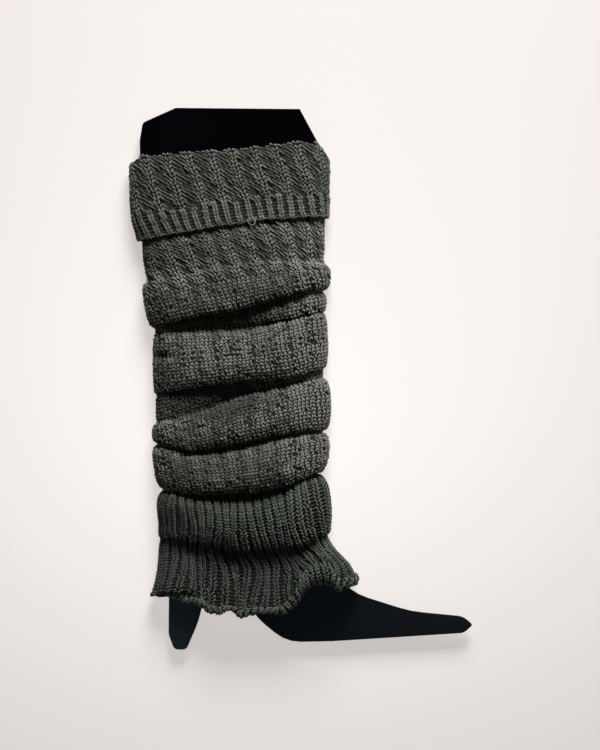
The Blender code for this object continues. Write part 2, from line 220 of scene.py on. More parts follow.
# Each fold's upper and lower line at five places across the front, its rise there and on the back, how far
# it tucks under itself, and the dip above it. From the top: the first and its small one, the second and its
# small one, the third, the fourth, and the rib's own
Fold = namedtuple("Fold", "top lip rise tuck valley")
FOLDS = (
    Fold((67.0, 73.5, 78.0, 81.0, 80.0), (37.0, 43.0, 48.0, 56.5, 63.5),
         (5.2, 11.0, 13.0, 12.5, 5.0, 5.4), 7.5, 8.0),
    Fold((33.5, 39.5, 42.5, 52.5, 60.5), (32.0, 37.0, 39.5, 42.5, 47.5),
         (0.4, 0.6, 1.5, 5.6, 3.0, 3.0), 0.0, 0.0),
    Fold((30.5, 32.0, 33.0, 39.0, 45.5), (-8.5, -6.0, -2.5, 1.0, 9.0),
         (2.4, 10.5, 13.5, 13.0, 3.6, 5.4), 7.5, 0.0),
    Fold((-11.5, -8.5, -5.0, -1.0, 6.0), (-27.0, -18.5, -8.5, -2.5, 2.5),
         (0.6, 0.4, 0.0, 0.0, 0.2, 3.0), 0.0, 0.0),
    Fold((-31.0, -25.5, -14.0, -6.0, 0.2), (-42.5, -50.0, -44.5, -37.5, -34.0),
         (3.2, 11.0, 14.0, 14.0, 5.6, 5.4), 6.5, 0.0),
    Fold((-45.5, -53.5, -49.0, -41.0, -37.5), (-74.5, -80.0, -79.0, -74.5, -63.0),
         (5.0, 12.0, 14.5, 14.0, 6.0, 5.4), 7.5, 0.0),
    Fold((-78.5, -83.5, -84.0, -78.5, -66.5), (-109.5, -113.5, -118.0, -116.5, -108.0),
         (4.5, 9.0, 10.0, 9.5, 7.0, 5.4), 0.0, 0.0),
)
CUFF_TOP_PLACES = (0.0, 0.035, 0.25, 0.455, 0.5)
CUFF_TOP = (149.5, 153.8, 158.7, 163.4, 153.0)
CUFF_BOTTOM = (96.5, 102.0, 107.5, 111.5, 112.5)
UNDER_CUFF_RISE = (0.8, 6.0, 7.5, 6.0, 0.6, 5.4)
UNDER_CUFF_MIDDLE = 0.55
CUFF_SEAM_Y = 118.0
FRONT_PLACES = (0.0, 0.125, 0.25, 0.375, 0.5)
BACK_PLACE = 0.75

# How far down, as a share of a fold's length or in mm under the cuff, and how much of its rise it has there
Step = namedtuple("Step", "down swell")
UNDER_CUFF = made(Step, (-0.3, 0.0), (4.0, 0.15), (9.0, 0.75))
LARGE_FOLD = made(Step, (0.0, 0.0), (0.03, 0.4), (0.08, 0.68), (0.17, 0.86), (0.3, 0.96), (0.5, 1.04),
                  (0.68, 1.06), (0.82, 1.0), (0.93, 0.86))
SMALL_FOLD = made(Step, (0.0, 0.0), (0.2, 0.75), (0.45, 1.0), (0.75, 0.85))
LIP_SHARE = 0.66
BEND_SHARE = 0.3
BEND_HEIGHT = 1.2
BEND_DOWN = 0.35
VALLEY_TUCK = 0.75
VALLEY_DOWN = 0.7
VALLEY_DEPTH = 3.0
LINE_DRIFT = 0.5
RISE_DRIFT = 0.05
DENT_FROM = 3.0
# Painted light on each large fold's crest and painted shade that grows towards its lip
CREST_PAINTED_LIGHT = 0.08
FOLD_PAINTED_SHADE = 0.26
HANG_FROM = 6.5
HANG_FULL = 11.0

# Soft dents and swellings of the cloth, by place, half-width across and down, and depth in mm
Dent = namedtuple("Dent", "share y across down depth")
DENTS = made(
    Dent, (0.045, 15.5, 0.022, 3.0, 4.2), (0.395, -57.0, 0.012, 4.5, 2.4),
    (0.425, -50.0, 0.020, 5.0, 1.8), (0.470, 84.0, 0.030, 4.0, 2.4), (0.020, 80.0, 0.030, 4.0, 2.2),
    (0.300, 60.0, 0.050, 6.0, -1.0), (0.150, 66.0, 0.040, 6.0, 1.2), (0.220, 14.0, 0.030, 8.0, 0.7),
    (0.330, 24.0, 0.035, 9.0, -0.9), (0.445, 26.0, 0.018, 6.0, 2.2), (0.110, -38.0, 0.030, 6.0, 1.2),
    (0.280, -26.0, 0.040, 8.0, 1.2), (0.180, -66.0, 0.030, 6.0, 1.1), (0.330, -60.0, 0.030, 7.0, -0.8),
    (0.075, -98.0, 0.055, 7.0, 1.4), (0.600, 60.0, 0.040, 7.0, 1.5), (0.700, 20.0, 0.050, 6.0, 1.2),
    (0.850, -30.0, 0.040, 8.0, 1.4), (0.650, -60.0, 0.050, 6.0, 1.2))


def curve(places, values, at, period=None):
    """Smooth curve through the values at their places that doesn't swing past them."""
    x = np.asarray(places, float)
    y = np.asarray(values, float)
    at = np.asarray(at, float)
    if period:
        x = np.concatenate([x[-2:] - period, x, x[:2] + period])
        y = np.concatenate([y[-2:], y, y[:2]])
    slope = np.diff(y) / np.diff(x)
    same_way = slope[1:] * slope[:-1] > 0
    total = np.where(same_way, slope[1:] + slope[:-1], 1.0)
    middle = np.where(same_way, 2 * slope[1:] * slope[:-1] / total, 0.0)
    steep = np.concatenate([slope[:1], middle, slope[-1:]])
    part = np.clip(np.searchsorted(x, at) - 1, 0, len(x) - 2)
    span = x[part + 1] - x[part]
    t = np.clip((at - x[part]) / span, 0.0, 1.0)
    blend = t * t * (3 - 2 * t)
    leave = t * (1 - t) ** 2 * steep[part]
    arrive = t * t * (1 - t) * steep[part + 1]
    return y[part] * (1 - blend) + y[part + 1] * blend + span * (leave - arrive)


def waver(seed, amount):
    """Slow, uneven drift round the tube: a few waves of seeded phase."""
    phases = np.random.default_rng(seed).random(5)
    waves = [math.tau * (count * SHARES + phase) for count, phase in zip((2, 3, 5, 8, 13), phases)]
    return amount * sum(np.sin(wave) / (index + 1) for index, wave in enumerate(waves))


def round_tube(values, places=FRONT_PLACES):
    """Value all the way round, given at five places on the front and one on the back."""
    return curve(places + (BACK_PLACE,), values, SHARES, 1.0)


def line_round(front, places=FRONT_PLACES):
    """Height along the leg of a line that is given on the front, all the way round."""
    return round_tube(front + ((front[0] + front[-1]) / 2,), places)


def front_and_back():
    """A round hump over the tube's front and a flat one over its back, both 0 at its edges."""
    front = np.sin(np.clip(SHARES, 0.0, 0.5) * math.tau)
    back = np.sin(np.clip(SHARES - 0.5, 0.0, 0.5) * math.tau)
    return front, np.minimum(BACK_SPREAD * back, 1.0)


def tube_points(y, height):
    """Points on the flattened tube, height mm outside its valleys, and never below the table."""
    stations = WIDTHS[::-1]
    left = curve([w.y for w in stations], [w.left for w in stations], y)
    right = curve([w.y for w in stations], [w.right for w in stations], y)
    over = SHARES <= 0.5
    across = 2 * np.where(over, SHARES, 1 - SHARES)
    radius = np.where(over, EDGE_OVER, EDGE_UNDER)
    side = np.where(over, 1.0, -1.0)
    quarter = radius * math.pi / 2
    flat = right - left - 2 * radius
    travel = across * (2 * quarter + flat)
    left_turn = np.clip(travel / radius, 0, math.pi / 2)
    right_turn = np.clip((travel - quarter - flat) / radius, 0, math.pi / 2)
    along = np.clip(travel - quarter, 0, flat)
    direction_x = np.sin(right_turn) - np.cos(left_turn)
    direction_z = side * np.sin(left_turn) * np.cos(right_turn)
    x = left + radius + along + (radius + height) * direction_x
    z = np.maximum(EDGE_Z + (radius + height) * direction_z, FLOOR_GAP)
    return np.stack([x, y, z], axis=-1)


FILL = 0.7


def beyond(shares, place):
    """How far round the tube the shares lie beyond a place, the shorter way."""
    return (shares - place + 0.5) % 1.0 - 0.5


def knit_face(rows, softness):
    """The cloth's middle surface: rows filled in between, softened down the leg, dented and wrapped round.

    It returns the points in mm, one row after another, and the number of the row each one comes from.
    """
    y, height = np.array(rows).transpose(1, 0, 2)
    places = [0.0]
    for index in range(len(rows) - 1):
        stride = np.hypot(y[index + 1] - y[index], height[index + 1] - height[index]).max()
        steps = max(1, math.ceil(stride / FILL))
        places.extend(index + np.arange(1, steps + 1) / steps)
    places = np.array(places)
    first = np.minimum(places.astype(int), len(rows) - 2)
    part = (places - first)[:, None]
    reach = math.ceil(3 * softness / FILL)
    taps = np.exp(-0.5 * (np.arange(-reach, reach + 1) * FILL / softness) ** 2)
    taps /= taps.sum()
    soft = []
    for values in (y, height):
        filled = values[first] * (1 - part) + values[first + 1] * part
        padded = np.pad(filled, ((reach, reach), (0, 0)), "edge")
        soft.append(sum(tap * padded[start:start + len(places)] for start, tap in enumerate(taps)))
    soft_y, soft_height = soft
    for dent in DENTS:
        down = (soft_y - dent.y) / dent.down
        near = np.exp(-(beyond(SHARES, dent.share) / dent.across) ** 2 - down ** 2)
        soft_height = soft_height - dent.depth * near * np.clip(soft_height / DENT_FROM, 0.0, 1.0)
    return tube_points(soft_y, soft_height), places


def on_face(face, row, share):
    """Points of a face at fractional rows and shares of the way round."""
    row = np.clip(row, 0.0, len(face) - 1.001)
    column = (share % 1.0) * COLUMNS
    upper = np.floor(row).astype(int)
    left = np.floor(column).astype(int)
    down = (row - upper)[..., None]
    across = (column - left)[..., None]
    left = left % COLUMNS
    right = (left + 1) % COLUMNS
    high = face[upper, left] * (1 - across) + face[upper, right] * across
    low = face[upper + 1, left] * (1 - across) + face[upper + 1, right] * across
    return high * (1 - down) + low * down


def fold_rows(fold, below_top, seed):
    """Rows of one fold, from its upper line over its crest, under its lip and to the next valley."""
    top = line_round(fold.top) + waver(seed, LINE_DRIFT)
    lip = line_round(fold.lip) + waver(seed + 1, LINE_DRIFT)
    rise = round_tube(fold.rise)
    rise = rise + waver(seed + 2, RISE_DRIFT) * rise
    gap = lip - line_round(below_top)
    on_front = (SHARES > 0.0) & (SHARES < 0.5) & (fold.tuck > 0.0)
    hang = np.clip((rise - HANG_FROM) / (HANG_FULL - HANG_FROM), 0.0, 1.0) * on_front
    front = front_and_back()[0]
    valley = fold.valley * front
    floor = VALLEY_DEPTH * front
    steps = LARGE_FOLD if fold.tuck > 0.0 else SMALL_FOLD
    rows = [(top - step.down * (top - lip), valley + (rise - valley) * step.swell) for step in steps]
    bend_y = lip + hang * fold.tuck - (1 - hang) * BEND_DOWN * gap
    valley_y = lip + hang * VALLEY_TUCK * fold.tuck - (1 - hang) * VALLEY_DOWN * gap
    rows.append((lip, rise * LIP_SHARE))
    rows.append((bend_y, np.minimum(BEND_HEIGHT, BEND_SHARE * rise) - 0.5 * floor))
    rows.append((valley_y, -floor))
    return rows


def leg_rows():
    """Rows of the leg tube, the numbers of the rows that hidden knit lies between, and each row's painted
    light and shade.
    """
    level = np.zeros(COLUMNS)
    cuff_edge = line_round(CUFF_BOTTOM)
    under_cuff = round_tube(UNDER_CUFF_RISE)
    middle = cuff_edge + (line_round(FOLDS[0].top) - cuff_edge) * UNDER_CUFF_MIDDLE
    rows = [(level + CUFF_SEAM_Y, level)]
    rows.extend((cuff_edge - step.down, under_cuff * step.swell) for step in UNDER_CUFF)
    rows.append((middle, under_cuff))
    hidden = [(0, 1)]
    fold_painted_light = [0.0] * len(rows)
    for index, fold in enumerate(FOLDS[:-1]):
        more = fold_rows(fold, FOLDS[index + 1].top, 10 * index)
        rows.extend(more)
        if fold.tuck > 0.0:
            hidden.append((len(rows) - 3, len(rows) - 1))
            # Painted light at the crest and painted shade growing down the fold and under its lip
            fold_painted_light.extend([CREST_PAINTED_LIGHT - FOLD_PAINTED_SHADE * step.down ** 1.5 for step in LARGE_FOLD])
            fold_painted_light.extend([CREST_PAINTED_LIGHT - FOLD_PAINTED_SHADE] * (len(more) - len(LARGE_FOLD)))
        else:
            fold_painted_light.extend([0.0] * len(more))
    return rows, hidden, fold_painted_light


def ground_cloth(name, face, across, down, material):
    """Thin cloth under the stitches: a grid wrapped round the face and joined at its side."""
    shape = bmesh.new()
    bmesh.ops.create_grid(shape, x_segments=across, y_segments=down, size=0.5, calc_uvs=True)
    flat = np.array([vert.co for vert in shape.verts])
    points = on_face(face, (0.5 - flat[:, 1]) * (len(face) - 1), flat[:, 0] + 0.5)
    for vert, point in zip(shape.verts, points):
        vert.co = point * MM
    bmesh.ops.remove_doubles(shape, verts=shape.verts, dist=0.01 * MM)
    mesh = finished(name, shape)
    mesh.shade_smooth()
    piece = show_mesh(name, mesh, material)
    wall = piece.modifiers.new("thickness", "SOLIDIFY")
    wall.thickness = GROUND_THICKNESS * MM
    wall.offset = -1.0
    return piece


YARN_SIDES = 4


def unit(vectors):
    """The vectors with a length of 1."""
    return vectors / np.linalg.norm(vectors, axis=-1, keepdims=True)


def yarn_mesh(name, paths, thickness, shade):
    """Joined mesh of many short lengths of yarn, each closed and tapered to a point at both ends.

    paths holds the points of each length in mm, thickness the radius at each point, shade one number each.
    """
    count, bends = paths.shape[:2]
    rings = bends - 2
    ahead = unit(paths[:, 2:] - paths[:, :-2])
    bow = paths[:, bends // 2] - (paths[:, 0] + paths[:, -1]) / 2
    side = unit(np.cross(paths[:, -1] - paths[:, 0], bow))[:, None]
    side = unit(side - (side * ahead).sum(-1, keepdims=True) * ahead)
    lift = np.cross(ahead, side)
    turn = math.tau * np.arange(YARN_SIDES) / YARN_SIDES
    spoke = np.cos(turn)[:, None] * side[:, :, None] + np.sin(turn)[:, None] * lift[:, :, None]
    ring = paths[:, 1:-1, None] + thickness[:, 1:-1, None, None] * spoke
    per = 2 + rings * YARN_SIDES
    points = np.concatenate([paths[:, :1], ring.reshape(count, -1, 3), paths[:, -1:]], axis=1)
    corners = []
    for k in range(YARN_SIDES):
        corners.extend([(0, k + 0.5), (1, k + 1), (1, k)])
        for r in range(1, rings):
            corners.extend([(r, k), (r, k + 1), (r + 1, k + 1), (r, k), (r + 1, k + 1), (r + 1, k)])
        corners.extend([(rings, k), (rings, k + 1), (rings + 1, k + 0.5)])
    along, around = np.array(corners).T
    first = np.clip(1 + (along - 1) * YARN_SIDES + around % YARN_SIDES, 0, per - 1)
    first[along == 0] = 0
    faces = (first + per * np.arange(count)[:, None]).ravel()
    mesh = bpy.data.meshes.new(name)
    mesh.vertices.add(count * per)
    mesh.vertices.foreach_set("co", (points * MM).astype(np.float32).ravel())
    mesh.loops.add(len(faces))
    mesh.loops.foreach_set("vertex_index", faces.astype(np.int32))
    mesh.polygons.add(len(faces) // 3)
    mesh.polygons.foreach_set("loop_start", np.arange(0, len(faces), 3, dtype=np.int32))
    mesh.update(calc_edges=True)
    uv = mesh.uv_layers.new(name="yarn")
    wrap = np.array(corners) / (rings + 1, YARN_SIDES)
    uv.data.foreach_set("uv", np.tile(wrap, (count, 1)).astype(np.float32).ravel())
    tone = mesh.attributes.new("yarn_shade", "FLOAT", "POINT")
    tone.data.foreach_set("value", np.repeat(shade, per).astype(np.float32))
    mesh.shade_smooth()
    return mesh


# How one length of yarn runs through a stitch: wales across, courses down, mm out and its radius in mm
Bend = namedtuple("Bend", "across down out radius")
# The arms of a knit stitch, the arc of a purl one and the painted shade that darkens that arc
Look = namedtuple("Look", "arms purl dim")


def mirrored(yarn):
    """The same length of yarn on the other side of the stitch."""
    return tuple(bend._replace(across=-bend.across) for bend in yarn)


def arc(*bends):
    """Length of yarn that goes back as it came, given up to its middle."""
    half = made(Bend, *bends)
    return half + mirrored(half)[::-1]


def both_arms(*bends):
    """The left arm of a knit stitch, as given, and the right one."""
    left = made(Bend, *bends)
    return left, mirrored(left)


PURL_ARC = made(Bend, (-0.72, -0.66, -0.50, 0.0), (-0.48, -0.50, 0.10, 0.50), (-0.17, -0.18, 0.42, 0.68),
                (0.17, 0.18, 0.42, 0.68), (0.48, 0.50, 0.10, 0.50), (0.72, 0.66, -0.50, 0.0))
SUNK_ARC = arc((-0.60, 0.10, -0.40, 0.0), (-0.38, -0.04, 0.10, 0.46), (-0.14, -0.14, 0.34, 0.62))
STROKE = made(Bend, (-0.46, -0.84, -0.50, 0.0), (-0.33, -0.56, 0.20, 0.64), (-0.13, -0.20, 0.52, 0.88),
              (0.11, 0.20, 0.52, 0.88), (0.30, 0.56, 0.20, 0.64), (0.42, 0.84, -0.50, 0.0))
BRAID_ARMS = both_arms((-0.47, -0.64, -0.55, 0.0), (-0.45, -0.44, 0.15, 0.58), (-0.38, -0.12, 0.55, 0.80),
                       (-0.29, 0.20, 0.50, 0.78), (-0.21, 0.44, 0.10, 0.58), (-0.17, 0.62, -0.50, 0.0))
RIB_ARMS = both_arms((-0.56, -0.66, -0.50, 0.0), (-0.52, -0.46, 0.10, 0.64), (-0.43, -0.12, 0.66, 0.88),
                     (-0.31, 0.26, 0.62, 0.88), (-0.20, 0.58, 0.05, 0.62), (-0.16, 0.78, -0.50, 0.0))
BAND_ARMS = both_arms((-0.32, -0.85, -0.50, 0.0), (-0.31, -0.55, 0.25, 0.80), (-0.29, -0.10, 0.60, 1.04),
                      (-0.26, 0.35, 0.60, 1.04), (-0.24, 0.75, 0.25, 0.80), (-0.22, 1.02, -0.50, 0.0))
# The last number of each look is the painted shade on its purl arcs
SLANTING = Look((STROKE,), PURL_ARC, 0.05)
BRAIDED = Look(BRAID_ARMS, PURL_ARC, 0.10)
RIBBED = Look(RIB_ARMS, SUNK_ARC, 0.26)
BAND = Look(BAND_ARMS, SUNK_ARC, 0.30)
CURLED = Look(BRAID_ARMS, SUNK_ARC, 0.0)
BRAIDED_PITCH = 2.5
SLANTING_PITCH = 3.0
HIDDEN_PITCH = 3.4
RIB_PITCH = 2.6
ROPE_WALES = 4
RIDGE_COURSES = 4
STITCH_ROOM = 0.6
RIB_ROOM = 0.4
ROOM_SPREAD = 0.12
ROOM_TURN = 2.4
LEAST_HEIGHT = 0.8
STITCH_ASIDE = 0.06
SIZE_SPREAD = 0.06
PROUD_SPREAD = 0.08
PATCH_SHADE = 0.11
STITCH_SHADE = 0.07
# Painted shade on sunk stitches and painted light on proud ones, by how proud they stand
RELIEF_PAINTED_SHADE = 0.18
# Painted light on the tube's right side and painted shade on its left
SIDE_PAINTED_LIGHT = -0.05
SIDE_STAND = 0.3
SIDE_SPAN = 0.35
YARN_FLOOR = 1.25
# Slow waves of the wales: how many round the tube, their turn with each row, and their share of the whole
Sway = namedtuple("Sway", "count turn share")
SWAYS = made(Sway, (5, 0.05, 1.0), (11, -0.08, 0.6))


def running(steps):
    """Running total that starts from 0."""
    return np.concatenate([[0.0], np.cumsum(steps)])


class Courses:
    """Where each course of stitches lies on a face: its middle and its ends, as rows, and its drift."""

    def __init__(self, face, pace, lean, wander):
        lean = np.broadcast_to(lean, len(face))
        front = face[:, COLUMNS // 20:9 * COLUMNS // 20]
        stride = np.linalg.norm(np.diff(front, axis=0), axis=2).max(axis=1)
        count = running(stride / ((pace[1:] + pace[:-1]) / 2))
        drift = running(stride * (lean[1:] + lean[:-1]) / 2)
        total = round(count[-1])
        count *= total / count[-1]
        around = np.linalg.norm(np.roll(face, -1, axis=1) - face, axis=2).mean(axis=0)
        girth = around.sum()
        self.travelled = running(around) / girth
        rows = np.arange(len(face))
        marks = np.arange(total) + 0.5
        self.face = face
        # Painted light and shade of each course, none unless it is set
        self.fade = np.zeros(total)
        self.total = total
        self.wander = np.broadcast_to(wander, len(face))
        self.pitch = np.interp(marks, count, pace)
        self.levels = [np.interp(marks + shift, count, rows) for shift in (-0.5, 0.0, 0.5)]
        self.drifts = [np.interp(marks + shift, count, drift) / girth for shift in (-0.5, 0.0, 0.5)]

    def place(self, course, share, end):
        """Points of stitches at the start (0), the middle (1) or the end (2) of their courses."""
        row = self.levels[end][course]
        share = share + self.drifts[end][course]
        amount = np.interp(row, np.arange(len(self.face)), self.wander)
        sway = sum(wave.share * np.sin(wave.count * math.tau * share + wave.turn * row) for wave in SWAYS)
        return on_face(self.face, row, self.evenly(share + amount * sway))

    def evenly(self, share):
        """Share of the face's columns for a share of its girth."""
        return np.interp(share % 1.0, self.travelled, np.arange(COLUMNS + 1) / COLUMNS)

    def roomy(self, least):
        """Which stitches have room: where a fold runs out its courses crowd, and some are left out."""
        share = (np.arange(WALES) + 0.5) / WALES
        keep = np.ones((self.total, WALES), bool)
        waited = np.full(WALES, np.inf)
        room = least + ROOM_SPREAD * np.sin(ROOM_TURN * np.arange(WALES))
        before = None
        for course in range(self.total):
            here = self.place(np.full(WALES, course), share, 1)
            if course > 0:
                waited = waited + np.linalg.norm(here - before, axis=1)
            keep[course] = waited >= room * self.pitch[course]
            waited[keep[course]] = 0.0
            before = here
        return keep


# Painted shade in patches on the yarn, and painted light where the depth is below 0: by place, half-width
# across and down, and depth
PaintedPatch = namedtuple("PaintedPatch", "share y across down depth")
PAINTED_PATCHES = made(
    PaintedPatch, (0.140, 38.0, 0.160, 5.0, 1.3), (0.130, -17.5, 0.150, 8.0, 1.8),
    (0.205, -11.5, 0.075, 5.0, 1.3), (0.060, -47.0, 0.080, 4.0, 0.15), (0.250, -124.0, 0.260, 8.0, 0.26),
    (0.250, 12.0, 0.300, 14.0, -0.20), (0.300, -26.0, 0.250, 10.0, -0.08),
    (0.075, -148.6, 0.050, 2.2, 0.55), (0.108, -152.8, 0.035, 2.0, -1.2),
    (0.250, 90.0, 0.250, 14.0, 0.16), (0.250, -66.0, 0.250, 14.0, 0.13),
    (0.250, -140.0, 0.300, 16.0, 0.27), (0.455, -20.0, 0.060, 95.0, -0.75),
    (0.030, 90.0, 0.050, 14.0, 0.40), (0.030, 10.0, 0.050, 18.0, 0.35),
    (0.040, -100.0, 0.070, 14.0, 0.60))


class Stitches:
    """Places of stitches on a face, with the step to the next wale, the next course and outwards."""

    def __init__(self, courses, keep, seed, twist=None):
        random = np.random.default_rng(seed)
        course, wale = np.nonzero(keep)
        aside = random.normal(0.0, STITCH_ASIDE, len(wale))
        if twist is not None:
            aside = aside + twist[course] * np.sin(math.tau * course / RIDGE_COURSES)
        share = (wale + 0.5 + aside) / WALES
        half = 0.5 / WALES
        self.course = course
        self.wale = wale
        self.middle = courses.place(course, share, 1)
        self.across = courses.place(course, share + half, 1) - courses.place(course, share - half, 1)
        self.down = courses.place(course, share, 2) - courses.place(course, share, 0)
        tall = np.linalg.norm(self.down, axis=1)
        least = LEAST_HEIGHT * courses.pitch[course]
        self.down = self.down * np.maximum(1.0, least / np.maximum(tall, 0.01))[:, None]
        self.out = unit(np.cross(self.down, self.across))
        place = courses.evenly(share + courses.drifts[1][course])
        inward = np.clip(np.abs(np.sin(math.tau * place)) / SIDE_SPAN, 0.0, 1.0)
        self.stand = SIDE_STAND + (1 - SIDE_STAND) * inward
        self.size = 1.0 + random.normal(0.0, SIZE_SPREAD, len(wale))
        self.jitter = random.normal(0.0, PROUD_SPREAD, len(wale))
        self.tilt = np.zeros(len(wale))
        slow = random.normal(0.0, 1.0, (courses.total, WALES))
        slow = (slow + np.roll(slow, 1, 1) + np.roll(slow, 2, 1) + np.roll(slow, 1, 0)) / 2
        self.shade = 0.5 + PATCH_SHADE * slow[course, wale] + random.normal(0.0, STITCH_SHADE, len(wale))
        # Painted light on the right side and painted shade on the left, and the folds' painted light and
        # shade
        self.shade += SIDE_PAINTED_LIGHT * np.cos(math.tau * place) + courses.fade[course] * inward
        # Painted shade and painted light in patches
        for painted_patch in PAINTED_PATCHES:
            across = beyond(place, painted_patch.share) / painted_patch.across
            fall = (self.middle[:, 1] - painted_patch.y) / painted_patch.down
            self.shade -= painted_patch.depth * np.exp(-across ** 4 - fall ** 2)

    def turn_over(self, curled):
        """Show the chosen stitches on the other side of the cloth."""
        self.out[curled] *= -1.0

    def run(self, path, proud, chosen):
        """Points and radii of one length of yarn in each of the chosen stitches."""
        middle, across, down = self.middle[chosen], self.across[chosen], self.down[chosen]
        out, size, stand = self.out[chosen], self.size[chosen], self.stand[chosen]
        points = []
        for bend in path:
            offset = across * bend.across + down * bend.down
            points.append(middle + offset + out * (stand * (bend.out + proud[chosen]))[:, None])
        radius = np.array([bend.radius for bend in path])[None] * size[:, None]
        return np.stack(points, axis=1), radius


def knit_and_purl(name, stitches, looks, knit, proud, material):
    """Stitches of one stretch of cloth: the arms of each knit one and an arc for each purl one.

    looks holds pairs of a look and the stitches that have it.
    """
    paths, radii, shade = [], [], []
    for look, own in looks:
        tilts = (stitches.tilt, -stitches.tilt)
        strands = [(arm, own & knit, tilt, 0.0) for arm, tilt in zip(look.arms, tilts)]
        strands.append((look.purl, own & ~knit, 0.0, look.dim))
        for path, chosen, tilt, dim in strands:
            points, radius = stitches.run(path, proud + tilt, chosen)
            paths.append(points)
            radii.append(radius)
            # Painted shade on sunk stitches and on purl arcs, and painted light on proud stitches
            shade.append(stitches.shade[chosen] + RELIEF_PAINTED_SHADE * proud[chosen] - dim)
    paths = np.concatenate(paths)
    paths[..., 2] = np.maximum(paths[..., 2], YARN_FLOOR)
    return show_mesh(name, yarn_mesh(name, paths, np.concatenate(radii), np.concatenate(shade)), material)


def covered(courses, trees, reach, curled=None):
    """Which stitches, by course and wale, have other cloth close over them and can't be seen.

    reach is how close, in mm, for each course; curled tells which courses show their other side.
    """
    stitches = Stitches(courses, np.ones((courses.total, WALES), bool), 0)
    if curled is not None:
        stitches.turn_over(curled[stitches.course])
    reach = np.broadcast_to(reach, courses.total)
    hidden = np.zeros(len(stitches.middle), bool)
    for index, (point, out) in enumerate(zip(stitches.middle, stitches.out)):
        start = Vector(point + SIGHT_FROM * out)
        for tree in trees:
            if tree.ray_cast(start, Vector(out), reach[stitches.course[index]])[0] is not None:
                hidden[index] = True
    return hidden.reshape(courses.total, WALES)


def face_tree(face):
    """The face as four-sided patches, for telling what lies over a stitch."""
    part = face[::2, ::2]
    number = np.arange(part[..., 0].size).reshape(part.shape[:2])
    after = np.roll(number, -1, axis=1)
    patches = np.stack([number[:-1], number[1:], after[1:], after[:-1]], axis=-1)
    return BVHTree.FromPolygons(part.reshape(-1, 3).tolist(), patches.reshape(-1, 4).tolist())


YARN_DEEP = (0.030, 0.034, 0.029, 1.0)
YARN_MIDDLE = (0.072, 0.078, 0.067, 1.0)
YARN_LIGHT = (0.150, 0.155, 0.138, 1.0)
YARN_BROWN = (0.085, 0.072, 0.058, 1.0)
PLIES = 2
PLY_TURNS = 2.0
GROUND_PAINTED_HOLLOW = 0.35


def tinted_and_lit(colour, tint_and_painted_light):
    """The yarn's colour scaled for one piece: a slight tint and painted light and shade."""
    return [part * share for part, share in zip(colour, tint_and_painted_light)] + [1.0]


def yarn_material(name, tint_and_painted_light):
    """Heathered acrylic yarn: dark olive grey with paler fibres, two plies twisted, a soft nap."""
    material = new_material(name)
    place = add_node(material, "TexCoord", {})["Object"]
    # yarn_shade holds each stitch's random heather and the painted light and shade given to it
    shade = add_node(material, "Attribute", {}, attribute_name="yarn_shade")["Fac"]
    fibre = add_node(material, "TexNoise", {"Vector": place, "Scale": 900.0, "Detail": 3.0})["Fac"]
    patch = add_node(material, "TexNoise", {"Vector": place, "Scale": 38.0, "Detail": 2.0})["Fac"]
    mottle = reckoned(material, "MULTIPLY_ADD", fibre, 0.7, shade)
    tone = graded(material, reckoned(material, "SUBTRACT", mottle, 0.15), (
        (0.35, tinted_and_lit(YARN_DEEP, tint_and_painted_light)), (0.68, tinted_and_lit(YARN_MIDDLE, tint_and_painted_light)), (1.0, tinted_and_lit(YARN_LIGHT, tint_and_painted_light))))
    warmth = add_node(material, "MapRange", {
        "Value": patch, "From Min": 0.52, "From Max": 0.78, "To Max": 0.35})["Result"]
    wrap = add_node(material, "UVMap", {}, uv_map="yarn")["UV"]
    axes = add_node(material, "SeparateXYZ", {"Vector": wrap})
    turning = reckoned(material, "MULTIPLY_ADD", axes["X"], PLY_TURNS, axes["Y"])
    ply = reckoned(material, "SINE", reckoned(material, "MULTIPLY", turning, PLIES * math.tau))
    twist = add_node(material, "Bump", {"Height": ply, "Strength": 0.6, "Distance": 0.18 * MM})["Normal"]
    nap = add_node(material, "Bump", {
        "Height": fibre, "Normal": twist, "Strength": 0.5, "Distance": 0.12 * MM})["Normal"]
    return finish(material, {
        "Base Color": blended(material, warmth, tone, tinted_and_lit(YARN_BROWN, tint_and_painted_light)), "Normal": nap,
        "Roughness": 0.9, "Specular IOR Level": 0.15, "Sheen Weight": 0.25, "Sheen Roughness": 0.5})


def ground_material(name, brightness, bumps_down):
    """The knit seen between and behind its stitches, with small purl bumps: painted shade makes it dark and
    darkest in the hollows, and brightness is each piece's painted light.
    """
    material = new_material(name)
    wrap = add_node(material, "TexCoord", {})["UV"]
    scaled = add_node(material, "Mapping", {"Vector": wrap, "Scale": (WALES, bumps_down, 1.0)})["Vector"]
    axes = add_node(material, "SeparateXYZ", {"Vector": scaled})
    across, down = (reckoned(material, "SINE", reckoned(material, "MULTIPLY", axes[axis], math.tau))
                    for axis in ("X", "Y"))
    bumps = reckoned(material, "MULTIPLY_ADD", across, 0.5, down)
    # Painted shade: the ground is dark, and darker still in the hollows between its bumps
    deep, pale = (tinted_and_lit(YARN_DEEP, 3 * [brightness * share]) for share in (GROUND_PAINTED_HOLLOW, 1.0))
    relief = add_node(material, "Bump", {"Height": bumps, "Strength": 0.8, "Distance": 0.5 * MM})["Normal"]
    return finish(material, {
        "Base Color": graded(material, bumps, ((0.0, deep), (1.0, pale))), "Normal": relief,
        "Roughness": 0.95, "Specular IOR Level": 0.1})


